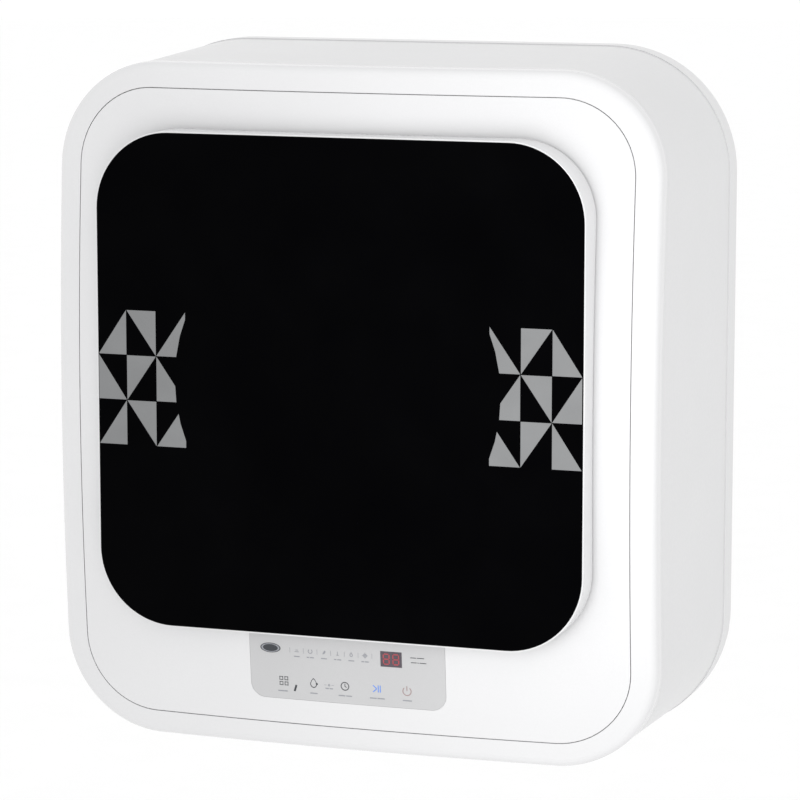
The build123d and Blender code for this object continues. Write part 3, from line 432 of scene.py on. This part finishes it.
@dataclass
class DoorFace:
    """The door's black glass with its printed border of half-square tiles."""

    corner_radius: float = 0.0646
    corner_steps: int = 20
    cutter_sides: int = 48
    cutter_depth: float = 0.02
    edge_margin: float = 0.0004
    smooth_angle: float = 35.0
    tile_width: float = 0.0267
    tile_height: float = 0.0383
    tile_middle: float = 0.0275
    window_radius: float = 0.1430
    print_depth: float = 0.00012
    inner_limit: float = 0.1330
    glass_edge: float = 0.0007
    tile_gap: float = 0.0005
    columns: int = 3
    rows: int = 3

    def build(self) -> None:
        """Builds and dresses the glass and both tile borders."""
        low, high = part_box("door_glass")
        width, height = high.x - low.x, high.z - low.z
        glass = rounded_plate(
            "door_glass_panel", (width, height), self.corner_radius, high.y - low.y, self.corner_steps,
            self.glass_edge,
        )
        glass.data.transform(Matrix.Translation(((low.x + high.x) / 2, low.y, (low.z + high.z) / 2)))
        self.smooth(glass)
        dress(glass, "door", "black_glass", "black_glass", "door_glass")
        for side in (-1, 1):
            name = "tiles_left" if side < 0 else "tiles_right"
            border = self.tile_border(side, width / 2, low.y, name)
            dress(border, "door", "black_glass", "tile_silver")

    def smooth(self, piece: bpy.types.Object) -> None:
        """Shades the piece smooth, but not across sharp edges."""
        select_only(piece)
        bpy.ops.object.shade_smooth_by_angle(angle=math.radians(self.smooth_angle))

    def tile_border(self, side: int, edge: float, front: float, name: str) -> bpy.types.Object:
        """Builds one side's tiles, cut back round the door's window.

        Args:
            side: -1 for the left, 1 for the right.
            edge: The glass's half width.
            front: The glass's front.
            name: The piece's name.

        Returns:
            The tiles as one piece.
        """
        tiles = []
        for column in range(self.columns):
            for row in range(self.rows):
                tiles.append(self.tile(side, edge, column, row))
        border = join_pieces(tiles, name)
        border.data.transform(Matrix.Translation((0, front - self.print_depth, 0)))
        deselect_all()
        bpy.ops.mesh.primitive_cylinder_add(
            vertices=self.cutter_sides, radius=self.window_radius, depth=self.cutter_depth,
            location=(0, front, self.tile_middle),
            rotation=(math.pi / 2, 0, 0),
        )
        cutter = bpy.context.active_object
        apply_modifier(border, "BOOLEAN", {"operation": "DIFFERENCE", "object": cutter, "solver": "EXACT"})
        bpy.data.objects.remove(cutter)
        return border

    def tile(self, side: int, edge: float, column: int, row: int) -> bpy.types.Object:
        """Builds one half-square tile by cutting a small plate along its diagonal.

        Args:
            side: -1 for the left, 1 for the right.
            edge: The glass's half width.
            column: 0 at the glass's edge.
            row: 0 at the top.

        Returns:
            The tile, its back at y = print depth.
        """
        outer = self.inner_limit + (self.columns - column) * self.tile_width
        if column == 0:
            outer = edge - self.edge_margin
        inner = self.inner_limit + (self.columns - 1 - column) * self.tile_width
        middle_x = -(outer + inner) / 2
        middle_z = self.tile_middle + (1 - row) * self.tile_height
        deselect_all()
        bpy.ops.mesh.primitive_cube_add(size=1, location=(middle_x, self.print_depth / 2, middle_z))
        piece = bpy.context.active_object
        piece.scale = (outer - inner - self.tile_gap, self.print_depth, self.tile_height - self.tile_gap)
        apply_place(piece)
        rising = (column + row) % 2 == 0
        keeps_low = column % 2 == 0
        slope = self.tile_height / (outer - inner)
        normal = Vector((-slope, 0, 1)) if rising else Vector((slope, 0, 1))
        bpy.ops.object.mode_set(mode="EDIT")
        bpy.ops.mesh.select_all(action="SELECT")
        bpy.ops.mesh.bisect(
            plane_co=(middle_x, 0, middle_z), plane_no=normal.normalized(), use_fill=True,
            clear_outer=keeps_low, clear_inner=not keeps_low,
        )
        bpy.ops.object.mode_set(mode="OBJECT")
        if side > 0:
            piece.data.transform(Matrix.Scale(-1, 4, (1, 0, 0)))
            piece.data.flip_normals()
        return piece


@dataclass
class ControlPanel:
    """The printed marks of the touch panel and the display's digits."""

    crown: Crown
    ink_depth: float = 0.00008
    line: float = 0.0007
    key_height: float = -0.2315
    label_drop: float = 0.0085
    row_height: float = -0.2035
    digits: list = field(default_factory=lambda: [-0.0042, 0.0042])

    def build(self) -> None:
        """Builds the marks, one piece for each ink."""
        inks = {"dark_ink": self.dark_marks(), "pale_ink": self.pale_marks(), "blue_ink": self.play_marks(),
                "rose_ink": self.power_marks()}
        for ink, marks in inks.items():
            piece = join_pieces(marks, f"panel_marks_{ink}")
            dress(piece, "cabinet", "silver_film", ink)
        digits = join_pieces([part for place in self.digits for part in self.digit(place)], "display_figures")
        dress(digits, "cabinet", "smoked_window", "digit_red")

    def settle(self, x: float, z: float) -> bpy.types.Object:
        """Applies the active mark's place and lays it on the crown at a point of the front view."""
        piece = bpy.context.active_object
        apply_place(piece)
        self.crown.lay(piece, x, z, self.ink_depth)
        return piece

    def bar(
        self, x: float, z: float, width: float, height: float, turn: float = 0.0, at: tuple = (0, 0)
    ) -> bpy.types.Object:
        """A straight mark.

        Args:
            x: The mark's middle.
            z: The mark's middle.
            width: Its length before it is turned.
            height: Its height before it is turned.
            turn: Its turn in degrees.
            at: A shift that is turned with it.

        Returns:
            The mark, laid on the panel.
        """
        deselect_all()
        bpy.ops.mesh.primitive_cube_add(size=1)
        piece = bpy.context.active_object
        piece.scale = (width, self.ink_depth, height)
        apply_place(piece)
        piece.data.transform(Matrix.Translation((at[0], 0, at[1])))
        piece.data.transform(Matrix.Rotation(-math.radians(turn), 4, "Y"))
        return self.settle(x, z)

    def ring(self, x: float, z: float, radius: float, wide: float = 1.0, opening: float = 0.0) -> bpy.types.Object:
        """A round line, or an arc open at its top.

        Args:
            x: The ring's middle.
            z: The ring's middle.
            radius: Its radius.
            wide: Its width as a share of its height.
            opening: The angle left open at the top, in degrees.

        Returns:
            The ring, laid on the panel.
        """
        deselect_all()
        half = self.line / 2
        bpy.ops.mesh.primitive_cube_add(size=1, location=(0, 0, 0))
        piece = bpy.context.active_object
        piece.scale = (self.line, self.ink_depth, 0.0001)
        piece.location = (radius - half, 0, 0)
        apply_place(piece)
        bpy.ops.object.mode_set(mode="EDIT")
        bpy.ops.mesh.select_all(action="SELECT")
        bpy.ops.mesh.delete(type="ONLY_FACE")
        bpy.ops.object.mode_set(mode="OBJECT")
        for edge in piece.data.edges:
            ends = [piece.data.vertices[index].co.z for index in edge.vertices]
            edge.select = all(end > 0 for end in ends)
        bpy.ops.object.mode_set(mode="EDIT")
        bpy.ops.mesh.select_mode(type="EDGE")
        bpy.ops.mesh.spin(steps=28, angle=math.radians(360 - opening), center=(0, 0, 0), axis=(0, 1, 0))
        bpy.ops.mesh.select_all(action="SELECT")
        bpy.ops.mesh.remove_doubles(threshold=0.00001)
        bpy.ops.mesh.normals_make_consistent(inside=False)
        bpy.ops.mesh.select_mode(type="VERT")
        bpy.ops.object.mode_set(mode="OBJECT")
        piece.data.transform(Matrix.Rotation(math.radians(-90 - opening / 2), 4, "Y"))
        piece.data.transform(Matrix.Scale(wide, 4, (1, 0, 0)))
        return self.settle(x, z)

    def disc(self, x: float, z: float, radius: float, wide: float = 1.0) -> bpy.types.Object:
        """A filled round or oval mark.

        Args:
            x: The mark's middle.
            z: The mark's middle.
            radius: Half its height.
            wide: Its width as a share of its height.

        Returns:
            The mark, laid on the panel.
        """
        deselect_all()
        bpy.ops.mesh.primitive_cylinder_add(vertices=32, radius=radius, depth=self.ink_depth,
                                            rotation=(math.pi / 2, 0, 0))
        piece = bpy.context.active_object
        apply_place(piece)
        piece.data.transform(Matrix.Scale(wide, 4, (1, 0, 0)))
        return self.settle(x, z)

    def dashes(self, x: float, z: float, widths: tuple, thick: float = 0.0009) -> list[bpy.types.Object]:
        """A short row of dashes that stands for a caption.

        Args:
            x: The row's middle.
            z: The row's middle.
            widths: The dashes' widths.
            thick: Their height.

        Returns:
            The dashes.
        """
        gap = 0.0007
        total = sum(widths) + gap * (len(widths) - 1)
        marks, left = [], x - total / 2
        for width in widths:
            marks.append(self.bar(left + width / 2, z, width, thick))
            left += width + gap
        return marks

    def dark_marks(self) -> list[bpy.types.Object]:
        """The plain oval badge, the four-square menu key, the drop and the clock."""
        marks = [self.disc(-0.0694, -0.2025, 0.0043, 2.15)]
        for column in (-1, 1):
            for row in (-1, 1):
                marks += self.square(-0.0582 + column * 0.0023, self.key_height + 0.0005 + row * 0.0023, 0.0034)
        drop = self.ring(-0.0312, self.key_height, 0.0036, 0.85)
        for vertex in drop.data.vertices:
            rise = max(0.0, vertex.co.z - self.key_height)
            vertex.co.x = -0.0312 + (vertex.co.x + 0.0312) * (1 - 130 * rise)
            vertex.co.z += 0.35 * rise
        marks.append(drop)
        marks.append(self.disc(-0.0282, self.key_height, 0.0009))
        marks.append(self.ring(-0.0029, self.key_height, 0.0038))
        marks.append(self.bar(-0.0029, self.key_height, self.line * 0.8, 0.0026, 0, (0, 0.001)))
        marks.append(self.bar(-0.0029, self.key_height, self.line * 0.8, 0.0020, -125, (0, 0.0008)))
        marks.append(self.bar(-0.0478, self.key_height - 0.0052, 0.0017, 0.0058, -18))
        marks += self.dashes(0.0620, -0.2020, (0.0052, 0.0062), 0.0006)
        marks += self.dashes(0.0632, -0.2062, (0.0050, 0.0012, 0.0058), 0.0006)
        return marks

    def square(self, x: float, z: float, side: float) -> list[bpy.types.Object]:
        """A small open square of four bars."""
        reach = side / 2 - self.line / 2
        thin = self.line * 0.75
        marks = []
        for sign in (-1, 1):
            marks.append(self.bar(x, z + sign * reach, side, thin))
            marks.append(self.bar(x + sign * reach, z, thin, side))
        return marks

    def pale_marks(self) -> list[bpy.types.Object]:
        """The programme row with its dividers, the captions and the small lamp sign."""
        marks = []
        step = 0.0123
        left = -0.0517
        for index in range(7):
            marks.append(self.bar(left + index * step, self.row_height + 0.0003, 0.0003, 0.0045))
        for index in range(6):
            x = left + (index + 0.5) * step
            marks += self.programme_sign(index, x, self.row_height + 0.0004)
            marks += self.dashes(x, self.row_height - 0.0050, (0.0022, 0.0036) if index % 2 else (0.0052,))
        badge_rim = self.ring(-0.0694, -0.2025, 0.0038, 2.2)
        badge_rim.data.transform(Matrix.Translation((0, -self.ink_depth, 0)))
        marks.append(badge_rim)
        for x, widths in ((-0.0595, (0.0085,)), (-0.0312, (0.0065,)), (-0.0029, (0.0060, 0.0052)),
                          (0.0257, (0.0060, 0.0064)), (0.0522, (0.0080,))):
            marks += self.dashes(x, self.key_height - self.label_drop, widths)
        marks.append(self.ring(-0.0172, self.key_height - 0.0002, 0.0010))
        marks += self.dashes(-0.0172, self.key_height - 0.0032, (0.0030, 0.0030))
        marks.append(self.bar(-0.0205, self.key_height - 0.0002, 0.0020, 0.0003))
        marks.append(self.bar(-0.0139, self.key_height - 0.0002, 0.0020, 0.0003))
        return marks

    def programme_sign(self, index: int, x: float, z: float) -> list[bpy.types.Object]:
        """One small programme sign of the six."""
        if index == 0:
            return [self.bar(x, z - 0.0012, 0.0036, 0.0006), self.bar(x, z + 0.0002, 0.0022, 0.0005)]
        if index == 1:
            return [self.ring(x, z, 0.0021, 1.0, 70)]
        if index == 2:
            return [self.bar(x, z, 0.0009, 0.0036, -30), self.bar(x + 0.0008, z, 0.0008, 0.0026, -30)]
        if index == 3:
            return [self.bar(x, z, 0.0005, 0.0036), self.bar(x, z - 0.0014, 0.0026, 0.0005)]
        if index == 4:
            return [self.ring(x, z - 0.0004, 0.0016, 0.9), self.bar(x, z + 0.0016, 0.0005, 0.0014)]
        return [self.ring(x, z, 0.0017), self.bar(x, z, 0.0005, 0.0052), self.bar(x, z, 0.0052, 0.0005)]

    def play_marks(self) -> list[bpy.types.Object]:
        """The start and pause key: an arrow head and two bars."""
        x = 0.0250
        upper = self.bar(x - 0.0012, self.key_height + 0.0015, 0.0044, self.line, -43)
        lower = self.bar(x - 0.0012, self.key_height - 0.0015, 0.0044, self.line, 43)
        pause = [self.bar(x + shift, self.key_height, self.line, 0.0062) for shift in (0.0018, 0.0036)]
        return [upper, lower, *pause]

    def power_marks(self) -> list[bpy.types.Object]:
        """The power key: a ring open at its top, with a bar in the opening."""
        return [self.ring(0.0522, self.key_height - 0.0002, 0.0040, 1.0, 80),
                self.bar(0.0522, self.key_height + 0.0022, self.line, 0.0042)]

    def digit(self, shift: float) -> list[bpy.types.Object]:
        """One figure eight of seven lit bars."""
        low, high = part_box("display_window")
        x = (low.x + high.x) / 2 + shift
        z = (low.z + high.z) / 2
        width, height, thick = 0.0050, 0.0088, 0.0010
        marks = [self.bar(x, z + level * height / 2, width - thick, thick) for level in (-1, 0, 1)]
        for side in (-1, 1):
            for level in (-1, 1):
                marks.append(self.bar(x + side * width / 2, z + level * height / 4, thick, height / 2 - thick))
        return marks


@dataclass
class Studio:
    """The camera, the pale floor and the soft lights."""

    camera_place: tuple = (1.01542, -3.0562, 0.48805)
    camera_turn: float = 18.92
    camera_dip: float = 8.98
    lens: float = 164.24
    floor_height: float = -1.25

    def build(self) -> None:
        """Builds the whole studio."""
        data = bpy.data.cameras.new("camera")
        data.lens = self.lens
        data.sensor_width = 36.0
        camera = bpy.data.objects.new("camera", data)
        bpy.context.scene.collection.objects.link(camera)
        camera.location = self.camera_place
        camera.rotation_euler = (math.radians(90 - self.camera_dip), 0, math.radians(self.camera_turn))
        bpy.context.scene.camera = camera
        bpy.context.scene.view_settings.view_transform = "Standard"
        self.floor()
        self.world()
        self.area("key", (0.3, -1.1, 0.05), 0.5, 1.0, (0.3, -0.24, 0.05), 80)

    def floor(self) -> None:
        """A wide pale sheet of studio paper under the dryer."""
        deselect_all()
        bpy.ops.mesh.primitive_circle_add(vertices=64, radius=30, fill_type="NGON",
                                          location=(0, 0, self.floor_height))
        floor = bpy.context.active_object
        floor.name = "studio_floor"
        apply_place(floor)
        floor.data.materials.append(material_of("studio_paper"))

    @staticmethod
    def world() -> None:
        """An even white surround."""
        world = bpy.data.worlds.new("white_surround")
        world.use_nodes = True
        world.node_tree.nodes["Background"].inputs["Color"].default_value = hex_to_linear("ffffff")
        world.node_tree.nodes["Background"].inputs["Strength"].default_value = 1.01
        bpy.context.scene.world = world

    @staticmethod
    def area(name: str, place: tuple, size: float, power: float, aim: tuple, spread: float) -> None:
        """A soft square lamp.

        Args:
            name: The lamp's name.
            place: Where it stands.
            size: The length of its side.
            power: Its power in watts.
            aim: The point it faces.
            spread: The angle of its beam in degrees.
        """
        data = bpy.data.lights.new(name, "AREA")
        data.size = size
        data.energy = power
        data.spread = math.radians(spread)
        lamp = bpy.data.objects.new(name, data)
        bpy.context.scene.collection.objects.link(lamp)
        lamp.location = place
        lamp.visible_camera = False
        lamp.visible_glossy = False
        lamp.rotation_euler = (Vector(aim) - Vector(place)).to_track_quat("-Z", "Y").to_euler()


def dress_frame() -> None:
    """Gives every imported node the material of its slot."""
    for subpart in frame["record"]["subparts"]:
        node = frame["nodes"][subpart["node"]]
        node.data.materials.clear()
        node.data.materials.append(material_of(subpart["material_slot"]))
        LOG.info("%s: %s", subpart["node"], subpart["material_slot"])


def main() -> None:
    """Builds everything in order."""
    logging.basicConfig(level=logging.INFO, format="%(name)s: %(message)s")
    crown = Crown()
    dress_frame()
    DoorFace().build()
    ControlPanel(crown).build()
    Studio().build()
    deselect_all()


if __name__ == "__main__":
    main()
